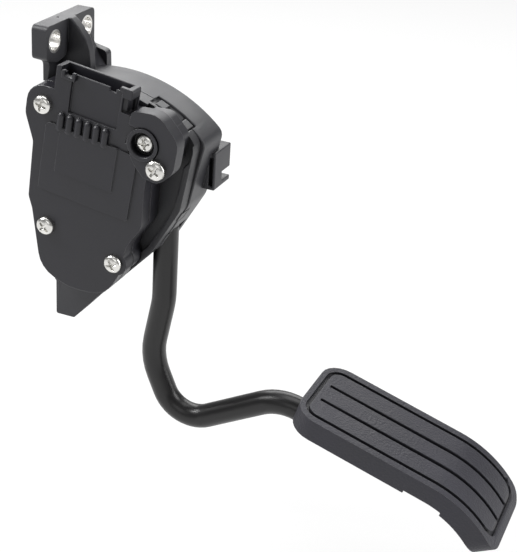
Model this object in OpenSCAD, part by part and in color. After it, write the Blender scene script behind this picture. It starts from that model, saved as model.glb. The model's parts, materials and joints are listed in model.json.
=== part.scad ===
// Accelerator pedal with its position sensor, drawn at rest (pedal released).
// Millimetres. X points from the mounting face towards the driver, Y from the sensor side
// to the far side, Z up along the mounting plate. The origin is the middle of the two
// mounting holes, on the plate's back face.

/* [Mounting plate] */
// Thickness of the mounting plate
plate_t = 7.8; // [6:0.2:10]
// Width of the mounting plate
plate_w = 43.8; // [42:0.2:50]
// Height of the plate above the hole centres
plate_top = 8; // [7.4:0.2:12]
// Depth of the plate below the hole centres
plate_low = 7.2; // [7:0.2:10]
// Distance between the two mounting holes
hole_pitch = 29; // [27:0.5:31]
// Outer radius of the compression sleeves
sleeve_r = 5.4; // [5:0.1:6]
// Wall of the compression sleeves
sleeve_wall = 0.9; // [0.6:0.1:1.4]
// Thickness of the gusset between the holes
gusset_t = 5; // [3:0.5:7]

/* [Housing] */
// X of the pivot from the mounting face
pivot_x = 28.5; // [27.5:0.5:29.5]
// Height of the pivot below the mounting holes
pivot_drop = 92; // [91:0.5:93]
// Outer radius of the housing's arched roof about the pivot
arc_r = 76.2; // [75.5:0.1:77]
// Wall of the housing
case_wall = 2.5; // [2:0.1:3]
// Y of the housing's far face
far_y = 13; // [12.8:0.1:14]
// Y of the joint between the housing and its side cover
joint_y = -7; // [-7.5:0.1:-6.8]
// Length of the foot below the pivot
foot_drop = 56.5; // [54:0.5:60]

/* [Sensor] */
// Tilt of the sensor about the pivot
sensor_tilt = 8.5; // [7:0.5:10]
// Y of the side cover's face, on which the sensor seats
seat_y = -13; // [-13.3:0.1:-12.8]
// Y of the joint between the sensor's base and its cover
split_y = -22; // [-22.5:0.1:-21.5]
// Y of the sensor cover's face
face_y = -30; // [-31:0.1:-29.5]
// Wall of the sensor's base and cover
sensor_wall = 2; // [1.6:0.1:2.4]
// Radius of the round screw ear
ear_r = 9; // [8.6:0.1:9.5]
// Width of the connector shroud
shroud_w = 38.7; // [37.6:0.1:40]
// Height of the connector shroud's rim above the pivot, along the sensor
shroud_top = 84.6; // [82:0.1:86]
// Number of terminals
terminals = 6; // [4:1:6]
// Distance between terminals
terminal_pitch = 4.6; // [4.2:0.1:4.8]

/* [Pedal arm] */
// Outer diameter of the arm's tube
tube_d = 12.2; // [11.6:0.1:12.6]
// Wall of the arm's tube
tube_wall = 2; // [1.5:0.1:2.5]
// Y of the arm's middle plane
arm_y = 2; // [1.6:0.1:2.2]
// Travel of the pedal in degrees
travel = 17; // [14:1:18]

/* [Pad] */
// Width of the pedal pad
pad_w = 52; // [46:0.5:54]
// Length of the pad's straight part
pad_straight = 73.2; // [68:0.2:78]
// Radius of the pad's curved toe
pad_bend_r = 56; // [50:1:62]
// Angle through which the toe curves down
pad_bend_angle = 46; // [40:1:50]
// Depth of the pad's skirt
pad_skirt = 11; // [10:0.1:12]
// Slope of the pad's straight part
pad_slope = 16.3; // [15:0.1:18]
// Corner radius of the pad at the arm's end
pad_corner = 12; // [9:0.5:14]
// Width of the grooves in the tread
groove_w = 2.2; // [1.6:0.1:2.6]
// Depth of the grooves in the tread
groove_d = 1.8; // [1:0.1:2.2]

/* [Hidden] */

shell_black = "#2b2c2e";
sensor_black = "#232426";
bright = "#c9cbcd";
arm_black = "#17181a";
rubber_black = "#2e2e32";

$fn = 48;
pivot_z = -pivot_drop;
clear = 0.3;
skin = 0.01;

// Vector of length one
function unit(v) = v / norm(v);
// Rounded corner b between its neighbours a and c, as points on an arc of radius r
function corner(a, b, c, r) = let (u = unit(a - b), w = unit(c - b), half = acos(u * w) / 2)
    r <= 0 || half > 89 ? [b] : let (o = b + unit(u + w) * r / sin(half),
        p = b + u * r / tan(half) - o, q = b + w * r / tan(half) - o, bend = 180 - 2 * half,
        turn = sign(p[0] * q[1] - p[1] * q[0]) * bend, n = max(2, round(bend / 15)))
    [for (i = [0:n]) let (t = turn * i / n)
        o + [p[0] * cos(t) - p[1] * sin(t), p[0] * sin(t) + p[1] * cos(t)]];
function xy(p) = [p[0], p[1]];
// Outline from corners [x, y, radius]
function rounded(pts) = let (n = len(pts)) [for (i = [0:n - 1])
    each corner(xy(pts[(i + n - 1) % n]), xy(pts[i]), xy(pts[(i + 1) % n]), pts[i][2])];
// Unit normal to the right of the edge from a to b, which is inward on a clockwise outline
function inward(a, b) = let (e = unit(b - a)) [e[1], -e[0]];
function is_convex(a, b, c) = (b[0] - a[0]) * (c[1] - b[1]) - (b[1] - a[1]) * (c[0] - b[0]) < 0;
// A clockwise outline moved inward by d, with its corner radii to suit
function inset(pts, d) = let (n = len(pts)) [for (i = [0:n - 1])
    let (a = xy(pts[(i + n - 1) % n]), b = xy(pts[i]), c = xy(pts[(i + 1) % n]),
        m = inward(a, b), k = inward(b, c), s = b + (m + k) * d / (1 + m * k),
        r = pts[i][2])
    [s[0], s[1], r <= 0 ? 0 : is_convex(a, b, c) ? max(r - d, 0.3) : max(r + d, 0.3)]];
// Point at radius r and angle phi clockwise from straight up, about the pivot
function about_pivot(r, phi) = [pivot_x + r * sin(phi), pivot_z + r * cos(phi)];
function arc_corners(r, from, to, n) = [for (i = [0:n])
    let (p = about_pivot(r, from + (to - from) * i / n)) [p[0], p[1], 0]];

// An outline in X and Z, from y0 to y1
module slab(y0, y1) {
    translate([0, y1, 0]) rotate([90, 0, 0]) linear_extrude(y1 - y0) children();
}
module outline(pts) {
    polygon(rounded(pts));
}
// A round post, bore or disc along Y
module post(r, y0, y1, x = 0, z = 0) {
    translate([x, y1, z]) rotate([90, 0, 0]) cylinder(r = r, h = y1 - y0);
}
module block(x, y, z) {
    translate([x[0], y[0], z[0]]) cube([x[1] - x[0], y[1] - y[0], z[1] - z[0]]);
}
// The sensor's own frame: origin on the pivot, tilted with the sensor
module on_sensor() {
    translate([pivot_x, 0, pivot_z]) rotate([0, sensor_tilt, 0]) children();
}
// The pedal's frame when it has turned by an angle about the pivot
module on_pedal(angle) {
    translate([pivot_x, 0, pivot_z]) rotate([0, angle, 0]) translate([-pivot_x, 0, -pivot_z])
        children();
}

// Outlines of the housing and its side cover, seen from the sensor side
case_left = 2;
roof_from = -asin((pivot_x - case_left) / arc_r);
roof_to = 43;
roof_corner = about_pivot(arc_r, roof_to + 1.5);
flank_top = [74.5, -70];
lip = [61, -93.5];
case_foot = [30, -127];
case_outline = concat([[case_left, case_foot[1], 2]],
    arc_corners(arc_r, roof_from, roof_to - 3, 22),
    [[roof_corner[0], roof_corner[1], 5], [flank_top[0], flank_top[1], 12], [lip[0], lip[1], 2],
    [case_foot[0], case_foot[1], 3]]);
cover_corner = about_pivot(arc_r - 0.6, roof_to);
// The cover's flank lies this far inside the housing's
cover_step = 0.6;
cover_low = -118;
cover_heel = lip[0] + (lip[1] - cover_low) * (case_foot[0] - lip[0]) / (lip[1] - case_foot[1]);
cover_outline_side = concat([[case_left, cover_low, 12]],
    arc_corners(arc_r, roof_from, roof_to - 5, 20),
    [[cover_corner[0], cover_corner[1], 7], [flank_top[0] - cover_step, flank_top[1], 12],
    [lip[0] - cover_step, lip[1], 3], [cover_heel - cover_step, cover_low, 4]]);

// Mounting plate, gusset and neck
gusset_reach = [[plate_t - 1, plate_top], [plate_t + 1.4, plate_top + 0.3], [13.2, 4.4], [17.2, -0.8],
    [18.9, -6], [19.6, -13], [19.6, -22], [3, -22]];
plate_corner = 2.5;
neck_near = 12.3;
neck_far = 15;
neck_t = 3.4;
block_y = [16.5, plate_w / 2 - 0.6];
module sleeve_places() {
    for (side = [-1, 1]) translate([0, side * hole_pitch / 2, 0]) children();
}
module plate_face() {
    polygon(rounded([[-plate_w / 2, plate_top, plate_corner], [plate_w / 2, plate_top, plate_corner],
        [plate_w / 2, -plate_low - 6, 3], [neck_far + 4, -plate_low - 9, 4],
        [neck_far, -26, 0], [-neck_near, -26, 0], [-neck_near, -plate_low - 4, 3],
        [-plate_w / 2, -plate_low, plate_corner]]));
}
// Below the near hole the plate's front layer ends in a curve, and the neck is thinner
module plate_pocket() {
    translate([neck_t, 0, 0]) rotate([90, 0, 90]) linear_extrude(plate_t) polygon(rounded([
        [-plate_w / 2 - 3, -plate_low, 0], [-neck_near, -plate_low - 3.2, 5],
        [-gusset_t / 2 - 1.7, -plate_low - 1.8, 4.5], [-gusset_t / 2, -2.5, 0],
        [-gusset_t / 2, -30, 0], [-plate_w / 2 - 3, -30, 0]]));
}
module mount_plate() {
    difference() {
        union() {
            difference() {
                rotate([90, 0, 90]) linear_extrude(plate_t) plate_face();
                plate_pocket();
            }
            slab(-gusset_t / 2, gusset_t / 2) polygon(gusset_reach);
            // Ramp from the gusset to the far shoulder
            slab(0, block_y[0] + 1) polygon([[2, -4], [plate_t, -3], [13, -12], [18, -18.8], [18, -24],
                [2, -24]]);
        }
        // Sink mark in the top edge
        translate([3, -4, plate_top - 0.6]) cylinder(r = 0.7, h = 2);
        // Ends in the roof, and above the side cover
        post(arc_r - 1.2, joint_y - 1, far_y - 1.2, pivot_x, pivot_z);
        post(arc_r + 0.2, joint_y - 20, joint_y, pivot_x, pivot_z);
    }
    // Far shoulder between the plate and the roof
    slab(block_y[0], block_y[1]) outline([[0.6, -26, 0], [0.6, -9, 0], [plate_t, -9, 0], [17.6, -11, 2.5],
        [18.2, -26, 2]]);
}
// Tongue below the housing that bears on the bulkhead
foot_z = pivot_z - foot_drop;
foot_near_y = -2;
module foot() {
    slab(foot_near_y, far_y) outline([[0, foot_z, 1], [0, -112, 1], [33, -112, 0], [33, -123, 0],
        [29.4, -127, 2], [10.4, foot_z, 1.5]]);
}
module foot_pockets() {
    pocket_deep = 9;
    slab(far_y - pocket_deep, far_y + 1) {
        outline([[3, foot_z + 12, 1], [3, -114, 1], [14.5, -114, 1], [14.5, foot_z + 12, 1]]);
        outline([[17.5, -130, 1], [17.5, -114, 1], [30, -114, 1], [30, -125, 1], [24, -130, 1]]);
    }
}

// Bearings of the pivot
shaft_r = 4;
bush_wall = 1.5;
bush_flange = 1;
run = 0.05;
hub_near = -6;
hub_far = 8;
boss_r = 9.5;
far_boss_out = 1.6;
far_bore_end = far_y - 0.2;
near_bush_end = seat_y;

// Tip of the lever's spring arm, under the friction shoe
arm_phi = -8;
shoe_t = 7.4;
arm_tip_r = arc_r - case_wall - clear - shoe_t;
arm_tip = [about_pivot(arm_tip_r, arm_phi - 4.5), about_pivot(arm_tip_r, arm_phi + 5.5)];

// Return springs, between a cup on the lever and a wall of the housing
spring_r = arm_tip_r - 11;
spring_phi = 17;
spring_half = 19.5;
spring_y = 1.5;
outer_coil_r = 7;
outer_wire = 2;
inner_coil_r = 4;
inner_wire = 1.4;
cup_t = 2;
module on_springs() {
    translate([pivot_x, spring_y, pivot_z]) rotate([0, spring_phi, 0]) translate([0, 0, spring_r])
        children();
}

// Slot through which the arm passes and swings
slot_r = 38.2;
slot_low = [47.5, -108.5];
slot_out = [0.735, -0.678];
slot_gap = 0.8;
module arm_slot() {
    inner = slot_low - 5 * slot_out;
    outer = slot_low + 12 * slot_out;
    slab(arm_y - tube_d / 2 - slot_gap, arm_y + tube_d / 2 + slot_gap) intersection() {
        translate([pivot_x, pivot_z]) circle(r = slot_r, $fn = 96);
        polygon([inner, [52, -76], [90, -76], [90, -100], outer]);
    }
}
// Harness clip: a block with a slot that opens to the far side
clip_y = [5, 22.5];
clip_z = [-65, -46];
clip_x = [74, 82];
clip_slot_z = [-62.4, -58];
module harness_clip() {
    difference() {
        slab(clip_y[0], clip_y[1]) outline([[clip_x[0], clip_z[0], 0], [clip_x[0], clip_z[1], 0],
            [clip_x[1], clip_z[1], 0.8], [clip_x[1], clip_z[0], 0.8]]);
        block([clip_x[0] - 1, clip_x[1] + 1], [clip_y[0] + 8.5, clip_y[1] + 1], clip_slot_z);
        // Relief under the block, open to the near side
        block([clip_x[0] + 4.8, clip_x[1] - 1.4], [clip_y[0] - 1, clip_y[0] + 4],
            [clip_z[0] + 2, clip_z[1] - 3]);
    }
}
// Catches along the rim that the side cover's hooks snap over
roof_hooks = [24.2, 35];
roof_hook_len = 3.2;
roof_recess = [20.5, 37.5];
roof_recess_d = 1.2;
// Share of the way down the upper flank, then down the lower flank
upper_hooks = [0.26, 0.8];
lower_hooks = [0.16, 0.48];
hook_w = 5;
hook_len = 5.5;
hook_t = 1.8;
hook_gap = 0.7;
module on_roof(phi) {
    translate([pivot_x, 0, pivot_z]) rotate([0, phi, 0]) translate([0, 0, arc_r]) children();
}
// A place at a share of the way from a to b, with +Z out of the housing
module on_edge(a, b, share) {
    place = a + (b - a) * share;
    translate([place[0], 0, place[1]]) rotate([0, atan2(a[1] - b[1], b[0] - a[0]), 0]) children();
}
module on_flanks() {
    for (share = upper_hooks) on_edge(flank_top, lip, share) children();
    for (share = lower_hooks) on_edge(lip, case_foot, share) children();
}
module hook_notch(len) {
    block([-hook_w / 2 - hook_gap, hook_w / 2 + hook_gap], [joint_y - 1, joint_y + len + hook_gap],
        [-hook_t - clear, 4]);
}
// Shallow recess of the roof in which the roof's hooks lie
module hook_recess() {
    slab(joint_y - 4, joint_y + roof_hook_len + 1) polygon(concat(
        [for (i = [0:6]) about_pivot(arc_r - roof_recess_d, roof_recess[0] + i * (roof_recess[1] - roof_recess[0]) / 6)],
        [for (i = [6:-1:0]) about_pivot(arc_r + 3, roof_recess[0] + i * (roof_recess[1] - roof_recess[0]) / 6)]));
}
module hook(len) {
    block([-hook_w / 2, hook_w / 2], [joint_y - 2, joint_y + len], [-hook_t, 0]);
}
web_low = -100;
full_stop_t = 4;
full_stop_x = [39.5, 46];
full_stop_z = web_low - clear;
idle_t = 4;
idle_wall_x = arm_tip[0][0] - idle_t - 0.1;
idle_z = [-38, -30];
idle_y = [-4, 7];

module main_housing() color(shell_black) difference() {
    union() {
        difference() {
            slab(joint_y, far_y) outline(case_outline);
            slab(joint_y - 1, far_y - case_wall) outline(inset(case_outline, case_wall));
        }
        mount_plate();
        foot();
        harness_clip();
        post(boss_r, hub_far + clear, far_y + far_boss_out, pivot_x, pivot_z);
        // Wall that the return springs push on
        on_springs() block([spring_half, spring_half + 3], [joint_y + 0.6 - spring_y, far_y - 1 - spring_y],
            [-10, arc_r - spring_r - 4]);
        // Rib that carries the idle bumper
        block([case_left, idle_wall_x], [joint_y + 1, far_y - 1], idle_z);
        // Rib that carries the full travel bumper
        on_pedal(travel) block(full_stop_x, [joint_y + 1, far_y - 1],
            [full_stop_z - full_stop_t - 5, full_stop_z - full_stop_t]);
    }
    sleeve_places() rotate([0, 90, 0]) translate([0, 0, -1]) cylinder(r = sleeve_r, h = plate_t + 2);
    post(shaft_r + bush_wall, hub_far, far_bore_end, pivot_x, pivot_z);
    arm_slot();
    foot_pockets();
    hook_recess();
    for (phi = roof_hooks) on_roof(phi) hook_notch(roof_hook_len);
    on_flanks() hook_notch(hook_len);
}

rim_w = 3;
rim_y = -15;
module side_cover() color(shell_black) {
    cover_shell();
    for (phi = roof_hooks) on_roof(phi)
        block([-hook_w / 2, hook_w / 2], [joint_y - 3, joint_y + roof_hook_len], [-hook_t, -0.2]);
}
module cover_shell() difference() {
    union() {
        difference() {
            slab(seat_y, joint_y) outline(cover_outline_side);
            slab(seat_y + case_wall, joint_y + 1) outline(inset(cover_outline_side, case_wall));
        }
        // Raised rim around the sensor's seat
        slab(rim_y, seat_y + 1) difference() {
            outline(cover_outline_side);
            outline(inset(cover_outline_side, rim_w));
            translate([pivot_x, pivot_z]) rotate(-sensor_tilt) base_footprint(-0.4);
        }
        post(boss_r, seat_y + 1, hub_near - clear, pivot_x, pivot_z);
        on_flanks() hook(hook_len);
        on_sensor() post(4.5, seat_y + 1, joint_y - 0.6, big_screw[0], big_screw[1]);
    }
    arm_slot();
    hook_recess();
    post(shaft_r + bush_wall, near_bush_end - 1, hub_near, pivot_x, pivot_z);
    on_sensor() post(screw_core + run, seat_y - 1, joint_y - 1.6, big_screw[0], big_screw[1]);
}

module mount_sleeve(side) color(bright) translate([0, side * hole_pitch / 2, 0]) rotate([0, 90, 0])
    difference() {
        cylinder(r = sleeve_r, h = plate_t);
        translate([0, 0, -1]) cylinder(r = sleeve_r - sleeve_wall, h = plate_t + 2);
    }
module mount_sleeve_near() {
    mount_sleeve(-1);
}
module mount_sleeve_far() {
    mount_sleeve(1);
}

// The sensor, in its own frame: u along the screw row, v up
ear = [-27.4, 63.6];
twin = [25, 62.7];
lower_left = [-17.7, 4.3];
lower_right = [19.7, -1.5];
big_screw = [33.4, 53.4];
round_r = 23.5;
body_left = -30.6;
body_right = 28.6;
body_top = ear[1] + ear_r;
low_ear_r = 6.5;
boss_round = 7.6;
boss_out = 0.9;
hump_round = boss_round + clear;
sensor_outline = [[ear[0] - ear_r, body_top, ear_r], [17.6, body_top, 1.5], [17.6, 56, 0], [body_right, 56, 0],
    [body_right, 40, 6], [30.4, 21.2, 7], [24.4, 9, 10], [round_r, -6, 6], [18, -round_r + 3, 14],
    [-1, -round_r - 0.6, 24], [-18, -round_r + 4, 14], [-22.8, -3, 8], [-26.6, 10, 6], [-29.4, 16, 5],
    [body_left, 44, 6], [ear[0] - ear_r, ear[1] - 7, 8]];
hump_right = 41.6;
hump_outline = [[16, 60, 0], [17, 76.5, 3], [30, 78.8, 9], [hump_right, 69, 8], [hump_right, 54, 8],
    [35.3, 46.6, 5.5], [27.5, 47.2, 3], [22, 52, 1]];
// The hump's head stands out this far all round its stem
hump_step = 3.2;
hump_head = 8;
// The cover's counterbored boss with the web that joins it to the cover
module boss_profile(grow) {
    translate(twin) circle(r = boss_round + grow);
    translate([twin[0] - 9, twin[1] - 5.8 - grow]) square([9, 11.6 + 2 * grow]);
}
// Where the hump stands through the cover
module hump_gap(grow) {
    difference() {
        outline(inset(hump_outline, -grow));
        boss_profile(0);
    }
}
module base_footprint(grow) {
    outline(inset(sensor_outline, grow));
    outline(inset(hump_outline, grow));
    translate(lower_right) circle(r = low_ear_r - grow);
}
// Screws
screw_core = 2;
screw_head_r = 4.5;
screw_head_h = 3;
big_head_r = 4.8;
cover_screw_places = [ear, twin, lower_left, lower_right];
twin_seat_y = face_y + 2;
hump_y = face_y - 1.6;
screw_end = seat_y - 0.8;
post_r = 4.4;

// Notch in the base's top wall, in which the root of the shroud stands
module shroud_notch() {
    block([shroud_left - clear, shroud_right + clear], [split_y - 2, shroud_far_y + clear],
        [shroud_root - clear, body_top + 1]);
}
module sensor_base() color(sensor_black) on_sensor() difference() {
    union() {
        difference() {
            slab(split_y, seat_y) outline(sensor_outline);
            slab(split_y - 1, seat_y - sensor_wall) outline(inset(sensor_outline, sensor_wall));
        }
        // Hump that carries the large screw
        difference() {
            union() {
                slab(hump_y, hump_y + hump_head) outline(hump_outline);
                slab(hump_y + 1, seat_y) outline(inset(hump_outline, hump_step));
            }
            slab(hump_y + 3, seat_y + 1) outline([[hump_right - 10.6, big_screw[1] + 5.4, 1],
                [hump_right - 10.6, 71, 1], [hump_right - 7.4, 71, 1], [hump_right - 5.8, 67, 1],
                [hump_right - 5.8, big_screw[1] + 5.4, 1]]);
        }
        for (p = [ear, twin]) post(post_r, split_y, seat_y, p[0], p[1]);
        for (p = [lower_left, lower_right]) post(post_r, cover_back, seat_y, p[0], p[1]);
        post(low_ear_r, split_y, seat_y, lower_right[0], lower_right[1]);
        for (p = board_posts) post(board_post_r, board_y + board_t, seat_y, p[0], p[1]);
    }
    // Round recess that the cover's counterbored boss stands in
    slab(hump_y - 1, split_y) boss_profile(clear);
    for (p = cover_screw_places) post(screw_core + run, split_y - 2, screw_end + 0.4, p[0], p[1]);
    post(screw_core + 0.6 + run, hump_y - 1, seat_y + 1, big_screw[0], big_screw[1]);
    post(shaft_r + 1.5, split_y, seat_y + 1);
    shroud_notch();
}

gasket_t = 0.8;
gasket_w = 1.5;
module gasket_profile(d) {
    difference() {
        outline(inset(sensor_outline, 0.3 + d));
        outline(inset(hump_outline, -clear - d));
    }
}
module sensor_gasket() color(rubber_black) on_sensor() difference() {
    union() {
        slab(split_y - gasket_t, split_y) difference() {
            gasket_profile(0);
            gasket_profile(gasket_w);
            translate(ear) circle(r = screw_core + 0.3);
        }
        // Ring around the lower right screw
        post(low_ear_r - 0.3, split_y - gasket_t, split_y, lower_right[0], lower_right[1]);
    }
    post(low_ear_r - 0.3 - gasket_w, split_y - gasket_t - 1, split_y + 1, lower_right[0], lower_right[1]);
    shroud_notch();
    block([shroud_right - 1, body_right], [split_y - 2, split_y + 1], [shroud_root - clear, body_top + 1]);
}

// Face plateau and its step, terminal ribs and connector shroud
plateau_u = [-24.6, 23];
plateau_v = [22.5, 56.6];
plateau_out = 0.8;
step_u = [-17, 13.1];
step_v = [33.9, 56];
step_out = 0.5;
terminal_first = -17.3;
terminal_rib_r = 1.9;
terminal_rib_v = [55.5, 61.5];
shroud_left = -23.3;
shroud_right = shroud_left + shroud_w;
shroud_far_y = face_y + 8.6;
shroud_floor = 70;
shroud_root = 66;
cavity_y = [face_y + 2.5, shroud_far_y - 1.7];
cavity_left = shroud_left + 2.8;
cavity_right = shroud_right - 3;
cover_back = split_y - gasket_t;
panel_left = shroud_left + 8.6;
panel_right = shroud_right - 5.2;
panel_in = 1.2;
panel_low = 64;
latch_u = [shroud_left + 3.2, shroud_left + 10.2];
latch_v = [shroud_top - 5.2, shroud_top - 1.2];
latch_leg = 1.6;

module terminal_rib(i) {
    u = terminal_first + i * terminal_pitch;
    y = face_y - 0.3;
    for (v = terminal_rib_v) translate([u, y, v]) sphere(r = terminal_rib_r, $fn = 24);
    translate([u, y, terminal_rib_v[0]]) cylinder(r = terminal_rib_r, $fn = 24,
        h = terminal_rib_v[1] - terminal_rib_v[0]);
}
module connector_shroud() {
    difference() {
        slab(face_y, shroud_far_y) outline([[shroud_left, shroud_root, 0], [shroud_left, shroud_top, 1],
            [shroud_right, shroud_top, 1], [shroud_right, shroud_root, 0]]);
        // Socket, open upwards
        block([cavity_left, cavity_right], cavity_y, [shroud_floor, shroud_top + 1]);
        // Near wall lower than the far wall
        block([shroud_left + 2.6, shroud_right - 6.4], [face_y - 1, cavity_y[0] + skin],
            [shroud_top - 2.2, shroud_top + 1]);
        // Recessed panel
        block([panel_left, panel_right], [face_y - 1, face_y + panel_in], [panel_low, shroud_top - 2.2 + skin]);
        // Latch window and key slot
        block([latch_u[0] + latch_leg, latch_u[1] - latch_leg], [face_y - 1, cavity_y[0] + skin],
            [latch_v[0] + latch_leg, shroud_top + 1]);
        block([shroud_left + 27, shroud_left + 30], [face_y + 0.6, cavity_y[0] + skin],
            [shroud_top - 3.8, shroud_top + 1]);
        // Recess under the rim at the right end
        block([panel_right + 1, shroud_right + 1], [face_y - 1, face_y + 1.6],
            [body_top + 0.6, shroud_top - 4.6]);
        block([cavity_right + 1, shroud_right + 1], [face_y - 1, shroud_far_y - 1.8],
            [body_top + 0.6, shroud_top - 4.6]);
    }
    // Frame around the latch window
    difference() {
        block(latch_u, [face_y - 1, face_y + 1], latch_v);
        block([latch_u[0] + latch_leg, latch_u[1] - latch_leg], [face_y - 2, face_y + 2],
            [latch_v[0] + latch_leg, shroud_top]);
    }
}
module sensor_cover() color(sensor_black) on_sensor() difference() {
    union() {
        difference() {
            slab(face_y, cover_back) outline(sensor_outline);
            slab(face_y + sensor_wall, cover_back + 1) difference() {
                outline(inset(sensor_outline, sensor_wall));
                outline(inset(hump_outline, -clear - 1.2));
                translate([-60, shroud_root]) square([120, 20]);
            }
        }
        slab(face_y - plateau_out, face_y + 1) outline([[plateau_u[0], plateau_v[0], 1],
            [plateau_u[0], plateau_v[1], 2.5], [plateau_u[1], plateau_v[1] - 1, 2.5],
            [plateau_u[1], plateau_v[0], 1]]);
        slab(face_y - plateau_out - step_out, face_y) outline([[step_u[0], step_v[0], 0.6],
            [step_u[0], step_v[1], 0.6], [step_u[1], step_v[1], 0.6], [step_u[1], step_v[0], 0.6]]);
        for (i = [0:terminals - 1]) terminal_rib(i);
        connector_shroud();
        for (p = cover_screw_places) post(post_r, face_y, cover_back, p[0], p[1]);
        post(low_ear_r, face_y, cover_back, lower_right[0], lower_right[1]);
        // Counterbored boss in the hump's recess
        slab(face_y, cover_back) boss_profile(0);
        post(boss_round, hump_y - boss_out, cover_back, twin[0], twin[1]);
    }
    // Lower part of the shroud's recessed panel
    block([panel_left, panel_right], [face_y - 1, face_y + panel_in], [panel_low, body_top + 1]);
    // Kept clear of the hump
    slab(face_y - 2, cover_back + 1) hump_gap(clear);
    post(screw_head_r + 1.3, hump_y - 2, twin_seat_y, twin[0], twin[1]);
    for (p = cover_screw_places) post(screw_core + 0.2, face_y - 3, cover_back + 1, p[0], p[1]);
    // Slots for the terminals
    for (i = [0:terminals - 1]) translate([terminal_first + i * terminal_pitch, 0, 0])
        block([-pin_w / 2 - run, pin_w / 2 + run], [pin_y - pin_t / 2 - run, pin_y + pin_t / 2 + run],
            [shroud_root - 1, shroud_floor + 1]);
}

pin_w = 1.2;
pin_t = 0.8;
pin_y = (cavity_y[0] + cavity_y[1]) / 2;
pin_tip = 76;
pin_root = 46;
board_y = -20.6;
board_t = 1.6;
module terminal_pins() color(bright) on_sensor() for (i = [0:terminals - 1])
    translate([terminal_first + i * terminal_pitch, 0, 0]) union() {
        block([-pin_w / 2, pin_w / 2], [pin_y - pin_t / 2, pin_y + pin_t / 2], [pin_root, pin_tip]);
        block([-pin_w / 2, pin_w / 2], [pin_y - pin_t / 2, board_y], [pin_root, pin_root + 0.8]);
    }

board_posts = [[-21, 12], [20, 16], [-23.5, 46], [19, 40]];
board_post_r = 2;
board_gap = 0.8;
board_top = 50;
board_right = body_right - 4.6;
board_low = 11.5 - round_r;
module circuit_board() color("#2f6b3c") on_sensor() difference() {
    intersection() {
        slab(board_y, board_y + board_t) outline(inset(sensor_outline, sensor_wall + board_gap));
        slab(board_y - 1, board_y + board_t + 1) outline([[body_left, board_low, 0], [body_left, board_top, 0],
            [board_right - 7, board_top, 0], [board_right, board_top - 8, 0], [board_right, board_low, 0]]);
    }
    post(post_r + 0.5, board_y - 1, board_y + board_t + 1, lower_left[0], lower_left[1]);
    post(low_ear_r + 0.5, board_y - 1, board_y + board_t + 1, lower_right[0], lower_right[1]);
}

// Rotor fixed on the shaft's near end, with the wiper that rides over the board
rotor_r = 13;
rotor_y = [-18.2, -15.6];
module sensor_rotor() color("#d8d6cc") translate([pivot_x, 0, pivot_z]) difference() {
    union() {
        post(rotor_r, rotor_y[0], rotor_y[0] + 1.2);
        post(6.5, rotor_y[0], rotor_y[1]);
    }
    post(shaft_r, rotor_y[0] - 1, rotor_y[1] + 1);
}
wiper_t = 0.3;
module wiper_contact() color("#c9a24a") on_sensor() difference() {
    slab(rotor_y[0] - wiper_t, rotor_y[0]) outline([[-7, 5.5, 0.5], [-5, rotor_r - 1, 1],
        [5, rotor_r - 1, 1], [7, 5.5, 0.5]]);
    for (u = [-2.6, 0, 2.6]) block([u - 0.5, u + 0.5], [rotor_y[0] - 1, rotor_y[0] + 1], [8, 20]);
}

module pan_screw(head_r, head_h, core, length) {
    recess = head_r * 1.16;
    difference() {
        union() {
            translate([0, 0, -length]) cylinder(r = core, h = length);
            rotate_extrude() polygon([[0, 0], [head_r, 0], [head_r, head_h * 0.38],
                [head_r * 0.93, head_h * 0.66], [head_r * 0.72, head_h * 0.88],
                [head_r * 0.4, head_h * 0.98], [0, head_h]]);
        }
        for (turn = [0, 90]) rotate([0, 0, turn]) translate([-recess / 2, -head_r * 0.11, head_h * 0.45])
            cube([recess, head_r * 0.22, head_h]);
    }
}
module cover_screws() color(bright) on_sensor() for (p = cover_screw_places) {
    seat = p == twin ? twin_seat_y : face_y;
    translate([p[0], seat, p[1]]) rotate([90, p[0] * 3, 0])
        pan_screw(screw_head_r, screw_head_h, screw_core, screw_end - seat);
}
module base_screw() color(bright) on_sensor() translate([big_screw[0], hump_y, big_screw[1]])
    rotate([90, 20, 0]) pan_screw(big_head_r, 3.4, screw_core, joint_y - 2 - hump_y);

module pivot_shaft() color(bright) post(shaft_r, rotor_y[0] + 0.1, far_bore_end - clear, pivot_x, pivot_z);

module bush(y0, y1) {
    difference() {
        post(shaft_r + bush_wall, y0, y1, pivot_x, pivot_z);
        post(shaft_r + run, y0 - 1, y1 + 1, pivot_x, pivot_z);
    }
}
module bush_near() color("#b48a4a") bush(near_bush_end, hub_near - clear);
module bush_far() color("#b48a4a") bush(hub_far + clear, far_bore_end);

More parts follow.
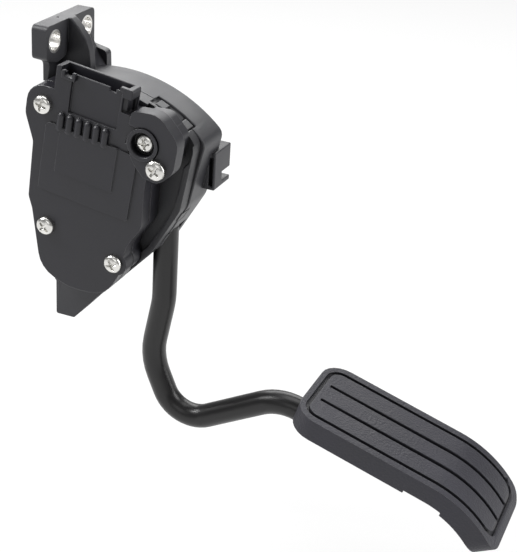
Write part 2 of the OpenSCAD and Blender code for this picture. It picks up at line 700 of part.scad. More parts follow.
// Lever: hub, spring arm and the socket that holds the tube
hub_r = 13;
arm_top = -86.5;
spigot_len = 20;
lever_y = [hub_near, hub_far];
function lever_corner(r, phi, bend) = [about_pivot(r, phi)[0], about_pivot(r, phi)[1], bend];
module pedal_lever() color(shell_black) difference() {
    union() {
        post(hub_r, hub_near, hub_far, pivot_x, pivot_z);
        // Spring arm
        slab(hub_near, hub_far) outline([
            [pivot_x - 10, pivot_z - 2, 0],
            lever_corner(32.7, -23.3, 10),
            [arm_tip[0][0], arm_tip[0][1], 0],
            [arm_tip[1][0], arm_tip[1][1], 0],
            lever_corner(arm_tip_r - 19.1, -7.2, 2),
            lever_corner(26.1, 5.5, 12),
            [pivot_x + 11, pivot_z + 6, 0]]);
        // Web to the tube
        slab(hub_near + 2, hub_far - 2) outline([[pivot_x - 2, pivot_z + 4, 0], [pivot_x + 6, -73, 4],
            [arm_x - 2, -78, 3], [arm_x + 4, -81.5, 1.5], [arm_x + 4.7, arm_top + run, 0],
            [arm_x - tube_d / 2 - 0.4, arm_top + run, 0], [arm_x - tube_d / 2 - 0.4, -92, 0],
            [51, web_low, 2], [34, web_low, 0]]);
        // Collar over the tube's end and the spigot pressed into it
        translate([arm_x, arm_y, arm_top + run]) cylinder(r = tube_d / 2 - 0.2, h = 5);
        translate([arm_x, arm_y, arm_top - spigot_len])
            cylinder(r = tube_d / 2 - tube_wall - 0.08, h = spigot_len + 2);
    }
    post(shaft_r, hub_near - 1, hub_far + 1, pivot_x, pivot_z);
    // Seat for the spring cup
    on_springs() block([-spring_half - cup_t, 30], [-20, 20], [-11, 20]);
}
module friction_shoe() color("#6d5f4b") {
    shoe_outer = arc_r - case_wall - clear;
    slab(hub_near, hub_far) polygon(concat(
        [for (i = [0:6]) about_pivot(shoe_outer, arm_phi - 6 + 12 * i / 6)], [arm_tip[1], arm_tip[0]]));
}

module spring_cup() color("#4a4a4e") on_springs() {
    difference() {
        union() {
            translate([-spring_half - cup_t, 0, 0]) rotate([0, 90, 0]) cylinder(r = outer_coil_r + 1, h = cup_t);
            translate([-spring_half - skin, 0, 0]) rotate([0, 90, 0])
                cylinder(r = inner_coil_r - inner_wire / 2 - 0.2, h = 5);
        }
    }
}

// Coil of round wire along local X, with closed ends
coil_sides = 8;
coil_steps = 14;
function coil_centre(t, r, from, length, turns) =
    [from + length * t / turns, r * cos(360 * t), r * sin(360 * t)];
module coil(r, wire, turns, from, length) {
    n = round(turns * coil_steps);
    rings = [for (i = [0:n]) let (t = turns * i / n, o = coil_centre(t, r, from, length, turns),
        outward = [0, cos(360 * t), sin(360 * t)])
        [for (j = [0:coil_sides - 1]) let (a = 360 * j / coil_sides)
            o + wire / 2 * (outward * cos(a) + [sin(a), 0, 0])]];
    points = [for (ring = rings) each ring];
    sides = [for (i = [0:n - 1], j = [0:coil_sides - 1]) let (k = (j + 1) % coil_sides)
        [i * coil_sides + j, (i + 1) * coil_sides + j, (i + 1) * coil_sides + k, i * coil_sides + k]];
    polyhedron(points, concat(sides, [[for (j = [0:coil_sides - 1]) j]],
        [[for (j = [coil_sides - 1:-1:0]) n * coil_sides + j]]), convexity = 6);
}
module return_spring_outer() color(bright) on_springs()
    coil(outer_coil_r, outer_wire, 6.5, -spring_half + outer_wire / 2 + 0.1, 2 * spring_half - outer_wire - 0.2);
module return_spring_inner() color(bright) on_springs()
    coil(inner_coil_r, inner_wire, 8, -spring_half + inner_wire / 2 + 0.1, 2 * spring_half - inner_wire - 0.2);

module idle_bumper() color(rubber_black) block([idle_wall_x, idle_wall_x + idle_t], idle_y, idle_z);
module full_bumper() color(rubber_black) on_pedal(travel)
    block(full_stop_x, idle_y, [full_stop_z - full_stop_t, full_stop_z]);

// Arm end of the pad's top, middle of its width, and its length
pad_x = 140;
pad_z = -153.7;
pad_y = 3.1;
pad_len = pad_straight + pad_bend_r * pad_bend_angle * PI / 180;

// Arm: one bent tube. Each corner is [x, z, bend radius]
arm_x = 59.3;
tube_under_pad = 15.7;
arm_path = [[arm_x, arm_top, 0], [arm_x, -127, 45], [53.2, -160.4, 34], [69.2, -196.3, 17.5],
    concat(pad_point(-11.7, tube_under_pad), [26]), concat(pad_point(36, tube_under_pad), [0])];
tube_sides = 24;
function heading(a, b) = atan2(b[1] - a[1], b[0] - a[0]);
// Stations along the arm's centre line, as [x, z, heading]
function arm_stations() = let (last = len(arm_path) - 1) [for (i = [0:last])
    let (b = xy(arm_path[i]), a = i == 0 ? b : xy(arm_path[i - 1]), c = i == last ? b : xy(arm_path[i + 1]))
    each i == 0 ? [[b[0], b[1], heading(b, c)]] : i == last ? [[b[0], b[1], heading(a, b)]] :
    let (h = heading(a, b), turn = heading(b, c) - h, r = arm_path[i][2], side = sign(turn),
        from = b - r * tan(abs(turn) / 2) * unit(b - a), o = from + side * r * [-sin(h), cos(h)],
        n = ceil(abs(turn) / 7))
    [for (k = [0:n]) let (t = h + turn * k / n) [o[0] + side * r * sin(t), o[1] - side * r * cos(t), t]]];
function tube_ring(s, r) = [for (j = [0:tube_sides - 1]) let (a = 360 * j / tube_sides)
    [s[0] - r * cos(a) * sin(s[2]), arm_y + r * sin(a), s[1] + r * cos(a) * cos(s[2])]];
// The arm's bent tube, hollow when an inner radius is given
module bent_tube(outer, inner = 0) {
    path = arm_stations();
    n = len(path);
    k = tube_sides;
    radii = inner > 0 ? [outer, inner] : [outer];
    points = [for (r = radii) each [for (s = path) each tube_ring(s, r)]];
    far = n * k;
    walls = [for (i = [0:n - 2], j = [0:k - 1]) let (m = (j + 1) % k)
        [i * k + j, i * k + m, (i + 1) * k + m, (i + 1) * k + j]];
    bore = [for (w = walls) [w[3] + far, w[2] + far, w[1] + far, w[0] + far]];
    rims = [for (j = [0:k - 1]) let (m = (j + 1) % k) each [[j, j + far, m + far, m],
        [far - k + m, 2 * far - k + m, 2 * far - k + j, far - k + j]]];
    caps = [[for (j = [0:k - 1]) k - 1 - j], [for (j = [0:k - 1]) far - k + j]];
    polyhedron(points, concat(walls, inner > 0 ? concat(bore, rims) : caps), convexity = 8);
}
module arm_tube() color(arm_black) bent_tube(tube_d / 2, tube_d / 2 - tube_wall);

// Pad: a straight part and a curved toe. Points lie at a distance s along it, h below its top
pad_steps = 14;
pad_top_t = 3.8;
pad_wall = 2.4;
pad_plate_t = 2;
function pad_angle(s) = pad_slope + (s < pad_straight ? 0 : (s - pad_straight) * 180 / PI / pad_bend_r);
function pad_point(s, h) = let (a = pad_angle(s), e = [cos(pad_slope), -sin(pad_slope)],
    n = [sin(pad_slope), cos(pad_slope)], start = [pad_x, pad_z] + pad_straight * e,
    c = start - pad_bend_r * n)
    s < pad_straight ? [pad_x, pad_z] + s * e - h * n : c + (pad_bend_r - h) * [sin(a), cos(a)];
// The stretch of pad between distances s0 and s1, from h0 to h1 below the top
module pad_band(s0, s1, h0, h1, y0, y1) {
    mid = max(s0, min(pad_straight, s1));
    stations = concat(s0 < mid ? [s0] : [], [for (i = [0:pad_steps]) mid + (s1 - mid) * i / pad_steps]);
    slab(y0, y1) polygon(concat([for (s = stations) pad_point(s, h0)],
        [for (i = [len(stations) - 1:-1:0]) pad_point(stations[i], h1)]));
}
module at_pad(s) {
    p = pad_point(s, 0);
    translate([p[0], pad_y, p[1]]) rotate([0, pad_angle(s), 0]) children();
}
// Plan shape of the pad, inset from its sides, its arm end and its toe
toe_corner = 9;
module pad_plan(d, near, far) {
    w = pad_w / 2 - d;
    intersection() {
        at_pad(0) translate([0, 0, -110]) linear_extrude(130) polygon(rounded([[near, w, pad_corner - d],
            [pad_len + 60, w, 0], [pad_len + 60, -w, 0], [near, -w, pad_corner - d]]));
        at_pad(pad_len) translate([0, 0, -130]) linear_extrude(260) polygon(rounded([
            [-200, w, 0], [-far, w, toe_corner - d / 2], [-far, -w, toe_corner - d / 2], [-200, -w, 0]]));
    }
}
// Insets of the tread's loop groove from the sides, the arm's end and the toe
loop_side = 4;
loop_near = 2.8;
loop_far = 5.4;
groove_mid = 6.85;
module pad_grooves() {
    difference() {
        intersection() {
            pad_band(-1, pad_len + 1, -1, groove_d, pad_y - pad_w, pad_y + pad_w);
            pad_plan(loop_side, loop_near, loop_far);
        }
        pad_plan(loop_side + groove_w, loop_near + groove_w, loop_far + groove_w);
    }
    for (side = [-1, 1]) pad_band(loop_near + groove_w + 2.5, pad_len - loop_far - 0.6, -1, groove_d,
        pad_y + side * groove_mid - groove_w / 2, pad_y + side * groove_mid + groove_w / 2);
}
skirt_step = [62.8, 84.6];
module pad_cover() color(rubber_black) difference() {
    intersection() {
        pad_band(0, pad_len, 0, pad_skirt, pad_y - pad_w, pad_y + pad_w);
        pad_plan(0, 0, 0);
    }
    intersection() {
        pad_band(0, pad_len, pad_top_t, pad_skirt + 2, pad_y - pad_w, pad_y + pad_w);
        pad_plan(pad_wall, pad_wall, pad_wall);
    }
    pad_grooves();
    // Shallower skirt in the middle of its length
    pad_band(skirt_step[0], skirt_step[1], pad_skirt - 1.4, pad_skirt + 2, pad_y - pad_w, pad_y + pad_w);
    // Way in for the arm
    pad_band(-2, pad_wall + 1, tube_under_pad - tube_d / 2 - 0.8, pad_skirt + 2,
        arm_y - tube_d / 2 - 0.8, arm_y + tube_d / 2 + 0.8);
}
module pad_plate() color(arm_black) intersection() {
    pad_band(0, pad_len, pad_top_t, pad_top_t + pad_plate_t, pad_y - pad_w, pad_y + pad_w);
    pad_plan(pad_wall + 0.2, pad_wall + 0.2, pad_wall + 0.2);
}
bracket_w = 18;
bracket_s = [5, 34];
bracket_drop = 13;
module pad_bracket() color(arm_black) difference() {
    pad_band(bracket_s[0], bracket_s[1], pad_top_t + pad_plate_t + 0.02, bracket_drop, arm_y - bracket_w / 2,
        arm_y + bracket_w / 2);
    bent_tube(tube_d / 2 + run);
}

main_housing();
side_cover();
mount_sleeve_near();
mount_sleeve_far();
sensor_base();
sensor_gasket();
sensor_cover();
terminal_pins();
circuit_board();
sensor_rotor();
wiper_contact();
cover_screws();
base_screw();
pivot_shaft();
bush_near();
bush_far();
pedal_lever();
friction_shoe();
spring_cup();
return_spring_outer();
return_spring_inner();
idle_bumper();
full_bumper();
arm_tube();
pad_bracket();
pad_plate();
pad_cover();
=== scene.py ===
import json
import math

import bmesh
import bpy
from mathutils import Matrix, Vector
from mathutils.bvhtree import BVHTree


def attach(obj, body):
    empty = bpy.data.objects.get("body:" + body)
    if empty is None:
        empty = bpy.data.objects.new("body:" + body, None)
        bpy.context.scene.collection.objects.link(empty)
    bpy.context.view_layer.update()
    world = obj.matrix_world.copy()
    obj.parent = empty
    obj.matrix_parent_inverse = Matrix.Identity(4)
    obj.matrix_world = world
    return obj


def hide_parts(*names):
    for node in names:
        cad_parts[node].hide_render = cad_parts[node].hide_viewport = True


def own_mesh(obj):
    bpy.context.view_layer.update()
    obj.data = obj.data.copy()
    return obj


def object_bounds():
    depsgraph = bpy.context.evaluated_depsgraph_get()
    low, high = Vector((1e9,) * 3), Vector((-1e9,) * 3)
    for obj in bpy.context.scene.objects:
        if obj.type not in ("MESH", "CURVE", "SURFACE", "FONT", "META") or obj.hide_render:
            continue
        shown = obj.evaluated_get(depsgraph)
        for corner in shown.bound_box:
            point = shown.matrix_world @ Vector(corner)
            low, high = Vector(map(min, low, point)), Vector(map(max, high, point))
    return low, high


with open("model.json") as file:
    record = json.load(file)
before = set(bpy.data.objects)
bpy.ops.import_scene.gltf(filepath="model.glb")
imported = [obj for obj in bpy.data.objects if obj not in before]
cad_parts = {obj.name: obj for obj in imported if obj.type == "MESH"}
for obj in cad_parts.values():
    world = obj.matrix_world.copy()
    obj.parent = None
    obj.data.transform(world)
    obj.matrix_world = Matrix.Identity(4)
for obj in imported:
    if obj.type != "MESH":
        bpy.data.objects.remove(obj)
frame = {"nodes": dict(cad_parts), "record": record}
cad_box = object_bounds()
nodes = frame["nodes"]
scene = bpy.context.scene


# Materials

BAND = (0.3, 0.7)                     # where a noise reaches its two ends
SHADE_SCALE, GRAIN_SCALE = 38, 1500   # of a plastic's shade changes and of its grain, per metre
PLASTIC_TONE = (0.86, 1.16)           # shares of the base colour
PLASTIC_GLOSS = (-0.05, 0.06)         # added to the roughness
GRAIN_DEPTH, STIPPLE_DEPTH = 0.00006, 0.00025
TARNISH_SCALE, LINE_SCALE = 120, 600  # of a metal's shade changes and of its lines
METAL_TONE = (0.85, 1.1)
METAL_GLOSS = (-0.07, 0.1)
LINE_STRENGTH, LINE_DEPTH = 0.12, 0.00005
TEXTURE_SAMPLES = 6                   # of the rounded normal and of the hollows
EDGE_ROUND = 0.0005                   # radius of the shader's rounded edges, m
# painted highlight: the paler colour that the plastics' edges are mixed towards
PAINTED_EDGE_HIGHLIGHT = (0.22, 0.22, 0.23, 1)
EDGE_HIGHLIGHT_RANGE = (0.99, 0.82)              # cosine between the rounded normal and the true one
# painted shade in hollows: how far the occlusion looks, and how dark it makes the colour
HOLLOW_REACH = 0.005
PAINTED_SHADE_STOPS = [(0.25, (0.25, 0.25, 0.25)), (0.85, (1, 1, 1))]


def shader(name, base, rough, metallic=0.0):
    """A new material with its node tree and its Principled node."""
    mat = bpy.data.materials.new(name)
    mat.use_nodes = True
    nt = mat.node_tree
    bsdf = nt.nodes["Principled BSDF"]
    bsdf.inputs["Base Color"].default_value = (*base, 1)
    bsdf.inputs["Roughness"].default_value = rough
    bsdf.inputs["Metallic"].default_value = metallic
    return mat, nt, bsdf


def link(nt, source, out, target, into):
    nt.links.new(source.outputs[out], target.inputs[into])


def noise(nt, scale, detail, rough=0.55, stretch=(1, 1, 1)):
    coord = nt.nodes.new("ShaderNodeTexCoord")
    mapping = nt.nodes.new("ShaderNodeMapping")
    mapping.inputs["Scale"].default_value = stretch
    tex = nt.nodes.new("ShaderNodeTexNoise")
    tex.inputs["Scale"].default_value = scale
    tex.inputs["Detail"].default_value = detail
    tex.inputs["Roughness"].default_value = rough
    link(nt, coord, "Object", mapping, "Vector")
    link(nt, mapping, "Vector", tex, "Vector")
    return tex


def stipple_cells(nt, scale):
    coord = nt.nodes.new("ShaderNodeTexCoord")
    tex = nt.nodes.new("ShaderNodeTexVoronoi")
    tex.inputs["Scale"].default_value = scale
    link(nt, coord, "Object", tex, "Vector")
    return tex


def ramp(nt, source, out, stops):
    """A ramp between two colours, each with its place."""
    node = nt.nodes.new("ShaderNodeValToRGB")
    for element, (at, colour) in zip(node.color_ramp.elements, stops):
        element.position, element.color = at, (*colour, 1)
    link(nt, source, out, node, "Fac")
    return node


def spread(nt, source, out, lo, hi, at=BAND):
    """Maps the range at onto the one from lo to hi."""
    node = nt.nodes.new("ShaderNodeMapRange")
    node.inputs["From Min"].default_value, node.inputs["From Max"].default_value = at
    node.inputs["To Min"].default_value, node.inputs["To Max"].default_value = lo, hi
    link(nt, source, out, node, "Value")
    return node


def tone(nt, source, base, shares):
    """The base colour, between two shares of it."""
    dark, pale = ([min(1, c * share) for c in base] for share in shares)
    return ramp(nt, source, 0, zip(BAND, (dark, pale)))


def vary_gloss(nt, bsdf, source, rough, swing):
    gloss = spread(nt, source, 0, rough + swing[0], rough + swing[1])
    link(nt, gloss, 0, bsdf, "Roughness")


def mix_colours(nt, blend_type):
    node = nt.nodes.new("ShaderNodeMix")
    node.data_type = "RGBA"
    node.blend_type = blend_type
    return node


def bump(nt, bsdf, height, strength, distance):
    node = nt.nodes.new("ShaderNodeBump")
    node.inputs["Strength"].default_value = strength
    node.inputs["Distance"].default_value = distance
    link(nt, height, 0, node, "Height")
    link(nt, node, "Normal", bsdf, "Normal")
    return node


def plastic(name, base, rough, grain=0.25, edge_highlight=0.25, stipple=0):
    """Moulded plastic: spark-eroded grain, slow shade changes, a painted highlight on edges,
    painted shade in hollows.

    stipple is the number of cells per metre of a coarser grain, for rubber.
    """
    mat, nt, bsdf = shader(name, base, rough)
    slow = noise(nt, SHADE_SCALE, 3)
    fine = stipple_cells(nt, stipple) if stipple else noise(nt, GRAIN_SCALE, 2, 0.6)
    shades = tone(nt, slow, base, PLASTIC_TONE)

    # Painted highlight on edges: paler where the rounded normal leaves the true one
    soft = nt.nodes.new("ShaderNodeBevel")
    soft.samples = TEXTURE_SAMPLES
    soft.inputs["Radius"].default_value = EDGE_ROUND
    geometry = nt.nodes.new("ShaderNodeNewGeometry")
    cosine = nt.nodes.new("ShaderNodeVectorMath")
    cosine.operation = "DOT_PRODUCT"
    link(nt, soft, "Normal", cosine, 0)
    link(nt, geometry, "Normal", cosine, 1)
    edge = spread(nt, cosine, "Value", 0.0, edge_highlight, EDGE_HIGHLIGHT_RANGE)
    highlighted = mix_colours(nt, "MIX")
    highlighted.inputs["B"].default_value = PAINTED_EDGE_HIGHLIGHT
    link(nt, shades, "Color", highlighted, "A")
    link(nt, edge, 0, highlighted, "Factor")

    # Painted shade: the base colour darkened in hollows, where less light gets in
    hollow = nt.nodes.new("ShaderNodeAmbientOcclusion")
    hollow.samples = TEXTURE_SAMPLES
    hollow.inputs["Distance"].default_value = HOLLOW_REACH
    shade = ramp(nt, hollow, "AO", PAINTED_SHADE_STOPS)
    painted_shade = mix_colours(nt, "MULTIPLY")
    painted_shade.inputs["Factor"].default_value = 1.0
    link(nt, highlighted, "Result", painted_shade, "A")
    link(nt, shade, "Color", painted_shade, "B")
    link(nt, painted_shade, "Result", bsdf, "Base Color")

    vary_gloss(nt, bsdf, slow, rough, PLASTIC_GLOSS)
    relief = bump(nt, bsdf, fine, grain, STIPPLE_DEPTH if stipple else GRAIN_DEPTH)
    link(nt, soft, "Normal", relief, "Normal")
    return mat


def metal(name, base, rough, stretch=(1, 1, 1), scale=LINE_SCALE):
    """Bare metal with fine lines, which stretch draws out along an axis."""
    mat, nt, bsdf = shader(name, base, rough, metallic=1.0)
    slow = noise(nt, TARNISH_SCALE, 3)
    line = noise(nt, scale, 3, 0.6, stretch)
    link(nt, tone(nt, slow, base, METAL_TONE), "Color", bsdf, "Base Color")
    vary_gloss(nt, bsdf, line, rough, METAL_GLOSS)
    bump(nt, bsdf, line, LINE_STRENGTH, LINE_DEPTH)
    return mat


# Every plastic gets a painted highlight on its edges and painted shade in its hollows; the arm's
# paint has no edge highlight
housing_mat = plastic("housing_plastic", (0.022, 0.022, 0.026), 0.44)
side_mat = plastic("side_cover_plastic", (0.018, 0.018, 0.021), 0.44)
sensor_mat = plastic("sensor_plastic", (0.0125, 0.0122, 0.0165), 0.41)
lever_mat = plastic("lever_plastic", (0.035, 0.035, 0.037), 0.5)
sleeve_mat = metal("sleeve_steel", (0.72, 0.71, 0.69), 0.3, stretch=(1, 8, 8), scale=500)
screw_mat = metal("screw_steel", (0.78, 0.77, 0.74), 0.2)
shaft_mat = metal("shaft_steel", (0.66, 0.66, 0.65), 0.25, stretch=(1, 20, 1))
spring_mat = metal("spring_steel", (0.5, 0.5, 0.5), 0.32)
bush_mat = metal("bush_bronze", (0.5, 0.33, 0.15), 0.4)
pin_mat = metal("terminal_tin", (0.75, 0.73, 0.68), 0.25)
wiper_mat = metal("wiper_bronze", (0.7, 0.45, 0.2), 0.3)
board_mat = plastic("board_laminate", (0.02, 0.12, 0.05), 0.3, grain=0.1)
rotor_mat = plastic("rotor_plastic", (0.62, 0.6, 0.54), 0.4)
shoe_mat = plastic("shoe_plastic", (0.3, 0.26, 0.18), 0.45)
cup_mat = plastic("cup_plastic", (0.2, 0.2, 0.22), 0.45)
gasket_mat = plastic("gasket_rubber", (0.012, 0.012, 0.013), 0.7, grain=0.3)
bumper_mat = plastic("bumper_rubber", (0.02, 0.02, 0.021), 0.75, grain=0.4)
arm_mat = plastic("arm_paint", (0.0045, 0.004, 0.0045), 0.33, grain=0.05, edge_highlight=0.0)
pad_mat = plastic("pad_rubber", (0.0165, 0.016, 0.024), 0.5, grain=0.6, edge_highlight=0.3, stipple=900)

MATS = {
    "main_housing": housing_mat, "side_cover": side_mat, "mount_sleeve_near": sleeve_mat,
    "mount_sleeve_far": sleeve_mat, "sensor_base": sensor_mat, "sensor_gasket": gasket_mat,
    "sensor_cover": sensor_mat, "terminal_pins": pin_mat, "circuit_board": board_mat,
    "sensor_rotor": rotor_mat, "wiper_contact": wiper_mat, "cover_screws": screw_mat,
    "base_screw": screw_mat, "pivot_shaft": shaft_mat, "bush_near": bush_mat, "bush_far": bush_mat,
    "pedal_lever": lever_mat, "friction_shoe": shoe_mat, "spring_cup": cup_mat,
    "return_spring_outer": spring_mat, "return_spring_inner": spring_mat,
    "idle_bumper": bumper_mat, "full_bumper": bumper_mat, "arm_tube": arm_mat,
    "pad_bracket": arm_mat, "pad_plate": arm_mat, "pad_cover": pad_mat,
}
for name, obj in nodes.items():
    obj.data.materials.clear()
    obj.data.materials.append(MATS[name])


# Moulded edges: smooth-shaded copies of the nodes, some of them with radii, lengths in metres

MERGE = 0.00001                       # vertices closer than this become one
COPLANAR = math.radians(0.6)          # faces that turn by less become one
SHARP = math.radians(32)              # edges that turn by more are edges of the moulding
ROOM_SHARE = 0.42                     # of the room beside an edge, for its radius
FACES_ACROSS = 0.7                    # cosine: a border counts if it lies across the face
TURNS_OFF = 0.8                       # cosine: an edge that leaves the chain bounds the radius
RUNS_ON = 0.85                        # cosine: an edge that runs on from another
MEND_REACHES = (0.0008, 0.0012, 0.0018, 0.0025)   # around a flipped face, round by round
FLIPPED = -0.15                       # cosine between a flipped face and the CAD's
SPECK = 5e-9                          # m2: smaller faces aren't tested


def body_of_node(name):
    bodies = frame["record"]["behaviour"]["bodies"]
    return next(body for body, members in bodies.items() if name in members)


def heading(edge):
    return (edge.verts[1].co - edge.verts[0].co).normalized()


def to_segment(point, a, b):
    """The way from a point to the nearest point between a and b."""
    span = b - a
    at = (point - a).dot(span) / max(span.length_squared, 1e-12)
    return a + max(0.0, min(1.0, at)) * span - point


def across(edge):
    """How far the faces on both sides of an edge reach before their next border."""
    mid = (edge.verts[0].co + edge.verts[1].co) / 2
    along = heading(edge)
    room = 1.0
    for face in edge.link_faces:
        inward = face.normal.cross(along)
        if inward.dot(face.calc_center_median() - mid) < 0:
            inward = -inward
        for other in face.edges:
            if other is edge:
                continue
            gap = to_segment(mid, other.verts[0].co, other.verts[1].co)
            if gap.length < room and gap.dot(inward) > FACES_ACROSS * gap.length:
                room = gap.length
    for vert in edge.verts:
        for other in vert.link_edges:
            if other is not edge and abs(heading(other).dot(along)) < TURNS_OFF:
                room = min(room, other.calc_length())
    return room


def chain_rooms(edges):
    """The room of each edge, levelled along edges that run smoothly on from each other."""
    rooms = {edge: across(edge) for edge in edges}
    done = set()
    for first in edges:
        if first in done:
            continue
        chain, todo = [], [first]
        done.add(first)
        while todo:
            edge = todo.pop()
            chain.append(edge)
            way = heading(edge)
            for other in (e for vert in edge.verts for e in vert.link_edges):
                if other in rooms and other not in done \
                        and abs(heading(other).dot(way)) > RUNS_ON:
                    done.add(other)
                    todo.append(other)
        least = min(rooms[edge] for edge in chain)
        for edge in chain:
            rooms[edge] = least
    return rooms


def weigh_edges(bm, tree, radius, wide, wide_radius):
    """Gives each convex edge its radius, as a share of the larger one, or none without room."""
    layer = bm.edges.layers.float.new("bevel_weight_edge")
    most = max(radius, wide_radius)
    convex = {edge for edge in bm.edges if len(edge.link_faces) == 2 and edge.is_convex
              and edge.calc_face_angle(0) > SHARP}
    for edge, room in chain_rooms(convex).items():
        want = wide_radius if wide and wide(edge, tree) else radius
        edge[layer] = want / most if want < ROOM_SHARE * room else 0


def evaluated(obj):
    return obj.evaluated_get(bpy.context.evaluated_depsgraph_get())


def flipped_spots(mesh, tree):
    """Middles of the triangles that look against the nearest face of the CAD."""
    mesh.calc_loop_triangles()
    spots = []
    for triangle in mesh.loop_triangles:
        if triangle.area > SPECK:
            mid = sum((mesh.vertices[i].co for i in triangle.vertices), Vector()) / 3
            if triangle.normal.dot(tree.find_nearest(mid)[1]) < FLIPPED:
                spots.append(mid)
    return spots


def round_edges(obj, tree, width, segments):
    """Bevels the weighed edges, and leaves those sharp beside which a face would flip."""
    mod = obj.modifiers.new("edge", "BEVEL")
    mod.width = width
    mod.segments = segments
    mod.limit_method = "WEIGHT"
    mod.use_clamp_overlap = False
    mesh = obj.data
    weights = mesh.attributes["bevel_weight_edge"].data
    for reach in MEND_REACHES:
        spots = flipped_spots(evaluated(obj).to_mesh(), tree)
        if not spots:
            break
        for edge in mesh.edges:
            a, b = (mesh.vertices[i].co for i in edge.vertices)
            if weights[edge.index].value \
                    and any(to_segment(spot, a, b).length < reach for spot in spots):
                weights[edge.index].value = 0
        mesh.update()
        obj.update_tag()


def moulded(name, radius=0.0, wide=None, wide_radius=0.0, segments=2):
    """A copy of a node that stands for it, with radii on its convex edges where there is room.

    wide(edge, tree) picks the edges that get wide_radius; segments is the steps of a rounding.
    """
    bm = bmesh.new()
    bm.from_mesh(nodes[name].data)
    bmesh.ops.remove_doubles(bm, verts=bm.verts, dist=MERGE)
    bmesh.ops.dissolve_limit(bm, angle_limit=COPLANAR, verts=bm.verts, edges=bm.edges)
    bm.normal_update()
    if radius:
        tree = BVHTree.FromBMesh(bm)
        weigh_edges(bm, tree, radius, wide, wide_radius)
    mesh = bpy.data.meshes.new(name + "_moulded")
    bm.to_mesh(mesh)
    bm.free()
    obj = bpy.data.objects.new(name + "_moulded", mesh)
    scene.collection.objects.link(obj)
    for polygon in mesh.polygons:
        polygon.use_smooth = True
    mesh.set_sharp_from_angle(angle=SHARP)
    if radius:
        round_edges(obj, tree, max(radius, wide_radius), segments)
    even = obj.modifiers.new("normals", "WEIGHTED_NORMAL")
    even.weight = 100
    even.keep_sharp = True
    done = bpy.data.meshes.new_from_object(evaluated(obj))
    obj.modifiers.clear()
    obj.data = done
    done.materials.clear()
    done.materials.append(MATS[name])
    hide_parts(name)
    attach(obj, body_of_node(name))
    return obj


PAD_UP = Vector((0.277, 0, 0.961))    # out of the pad's tread
LOOKS_UP, LOOKS_ASIDE = 0.6, 0.5      # cosines with it
STEP_OUT, STEP_DOWN = 0.0003, 0.0004  # from the rim to where the view to the side starts
CLEAR_WAY = 0.02


def pad_rim(edge, tree):
    """The upper rim of the pad: one face looks up, and nothing stands in front of the other."""
    top, side = edge.link_faces
    if abs(top.normal.dot(PAD_UP)) < abs(side.normal.dot(PAD_UP)):
        top, side = side, top
    if top.normal.dot(PAD_UP) < LOOKS_UP or abs(side.normal.dot(PAD_UP)) > LOOKS_ASIDE:
        return False
    mid = (edge.verts[0].co + edge.verts[1].co) / 2
    start = mid + side.normal * STEP_OUT - PAD_UP * STEP_DOWN
    return tree.ray_cast(start, side.normal, CLEAR_WAY)[0] is None


def outermost(name, way, within=0.0003):
    """Picks the edges in the outermost plane of a node that way."""
    way = Vector(way)
    most = max(v.co.dot(way) for v in nodes[name].data.vertices)
    return lambda edge, tree: all(most - v.co.dot(way) < within for v in edge.verts)


moulded("sensor_base", 0.0005, outermost("sensor_base", (0, -1, 0)), 0.0018, segments=3)
moulded("main_housing", 0.0005)
moulded("side_cover", 0.0004)
moulded("sensor_cover", 0.0004)
moulded("pad_cover", 0.0004, pad_rim, 0.0016, segments=3)
for name in ("arm_tube", "cover_screws", "base_screw", "mount_sleeve_near", "mount_sleeve_far",
             "pedal_lever", "pad_bracket", "pad_plate", "sensor_gasket"):
    moulded(name)


# The return springs sit pressed together between the lever's cup and the housing's wall; here each
# gets a smooth-shaded copy with its own mesh

for name in ("return_spring_outer", "return_spring_inner"):
    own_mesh(moulded(name))


# Floor: pale, and brighter to the camera, in reflections and through glass, with the shadow kept

FLOOR_DROP = 0.037                    # the pad swings down by less than this
FLOOR_HALF = 3
FLOOR_GLOW = 0.85                     # share of plain white where it is seen

floor_mat, nt, bsdf = shader("floor", (0.9, 0.9, 0.9), 0.9)
path = nt.nodes.new("ShaderNodeLightPath")
glow = nt.nodes.new("ShaderNodeEmission")
glow.inputs["Color"].default_value = (1, 1, 1, 1)
glow.inputs["Strength"].default_value = 1.0
camera_or_gloss, or_glass, share = (nt.nodes.new("ShaderNodeMath") for _ in range(3))
camera_or_gloss.operation = or_glass.operation = "MAXIMUM"
share.operation = "MULTIPLY"
share.inputs[1].default_value = FLOOR_GLOW
blend = nt.nodes.new("ShaderNodeMixShader")
link(nt, path, "Is Camera Ray", camera_or_gloss, 0)
link(nt, path, "Is Glossy Ray", camera_or_gloss, 1)
link(nt, camera_or_gloss, 0, or_glass, 0)
link(nt, path, "Is Transmission Ray", or_glass, 1)
link(nt, or_glass, 0, share, 0)
link(nt, share, 0, blend, "Fac")
link(nt, bsdf, "BSDF", blend, 1)
link(nt, glow, "Emission", blend, 2)
link(nt, blend, "Shader", nt.nodes["Material Output"], "Surface")

h, z = FLOOR_HALF, cad_box[0][2] - FLOOR_DROP
mesh = bpy.data.meshes.new("floor")
mesh.from_pydata([(-h, -h, z), (h, -h, z), (h, h, z), (-h, h, z)], [], [(0, 1, 2, 3)])
mesh.materials.append(floor_mat)
floor = bpy.data.objects.new("floor", mesh)
scene.collection.objects.link(floor)


# World: soft white light, plain white to the camera

WORLD_LIGHT, WORLD_SEEN = 0.3, 1.0

world = bpy.data.worlds.new("studio")
scene.world = world
world.use_nodes = True
nt = world.node_tree
lit, seen = nt.nodes["Background"], nt.nodes.new("ShaderNodeBackground")
for shade, strength in ((lit, WORLD_LIGHT), (seen, WORLD_SEEN)):
    shade.inputs["Color"].default_value = (1, 1, 1, 1)
    shade.inputs["Strength"].default_value = strength
path = nt.nodes.new("ShaderNodeLightPath")
blend = nt.nodes.new("ShaderNodeMixShader")
link(nt, path, "Is Camera Ray", blend, "Fac")
link(nt, lit, 0, blend, 1)
link(nt, seen, 0, blend, 2)
link(nt, blend, 0, nt.nodes["World Output"], "Surface")


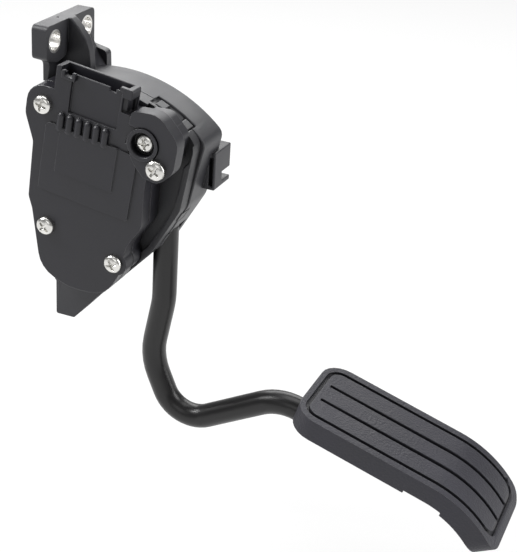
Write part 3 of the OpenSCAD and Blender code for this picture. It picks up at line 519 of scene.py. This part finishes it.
# Lights

def area(name, at, aim, size, power):
    light = bpy.data.lights.new(name, "AREA")
    light.shape = "RECTANGLE"
    light.size, light.size_y = size
    light.energy = power
    obj = bpy.data.objects.new(name, light)
    obj.location = at
    obj.rotation_euler = (Vector(aim) - Vector(at)).to_track_quat("-Z", "Y").to_euler()
    scene.collection.objects.link(obj)


CENTRE = (0.1, 0.0, -0.09)
area("top", (0.05, 0.1, 0.75), CENTRE, (0.7, 0.5), 3)
area("back", (-0.2, 0.85, 0.45), CENTRE, (1.0, 0.5), 6.5)
# The key stands at the upper left, for the highlight along the arm's level run
area("key", (-0.47, -0.2, 0.44), (0.08, 0, -0.1), (0.3, 0.3), 6)
area("right", (0.8, 0.2, 0.2), CENTRE, (0.3, 0.8), 4)
area("front", (0.15, -0.8, 0.25), CENTRE, (0.5, 0.4), 0.7)


# Camera at the photograph's viewpoint, solved from the object's own edges

AZIMUTH, ELEVATION, ROLL = 0.371377, 0.462269, -0.067961
ORIGIN_SEEN = Vector((-0.094316, -0.114523, 0.621925))   # right, down and forward of the eye
FOCAL_PIXELS, PHOTO_PIXELS, SENSOR_MM = 1331.29, 552, 36

forward = Vector((-math.sin(AZIMUTH) * math.cos(ELEVATION),
                  math.cos(AZIMUTH) * math.cos(ELEVATION), -math.sin(ELEVATION)))
level = Vector((math.cos(AZIMUTH), math.sin(AZIMUTH), 0))
below = forward.cross(level)
right = level * math.cos(ROLL) + below * math.sin(ROLL)
down = below * math.cos(ROLL) - level * math.sin(ROLL)
eye = -(Matrix((right, down, forward)).transposed() @ ORIGIN_SEEN)
turn = Matrix((right, -down, -forward)).transposed()

cam_data = bpy.data.cameras.new("camera")
cam_data.sensor_width = SENSOR_MM
cam_data.lens = FOCAL_PIXELS / PHOTO_PIXELS * SENSOR_MM
cam = bpy.data.objects.new("camera", cam_data)
cam.matrix_world = Matrix.Translation(eye) @ turn.to_4x4()
scene.collection.objects.link(cam)
scene.camera = cam
scene.view_settings.view_transform = "Standard"
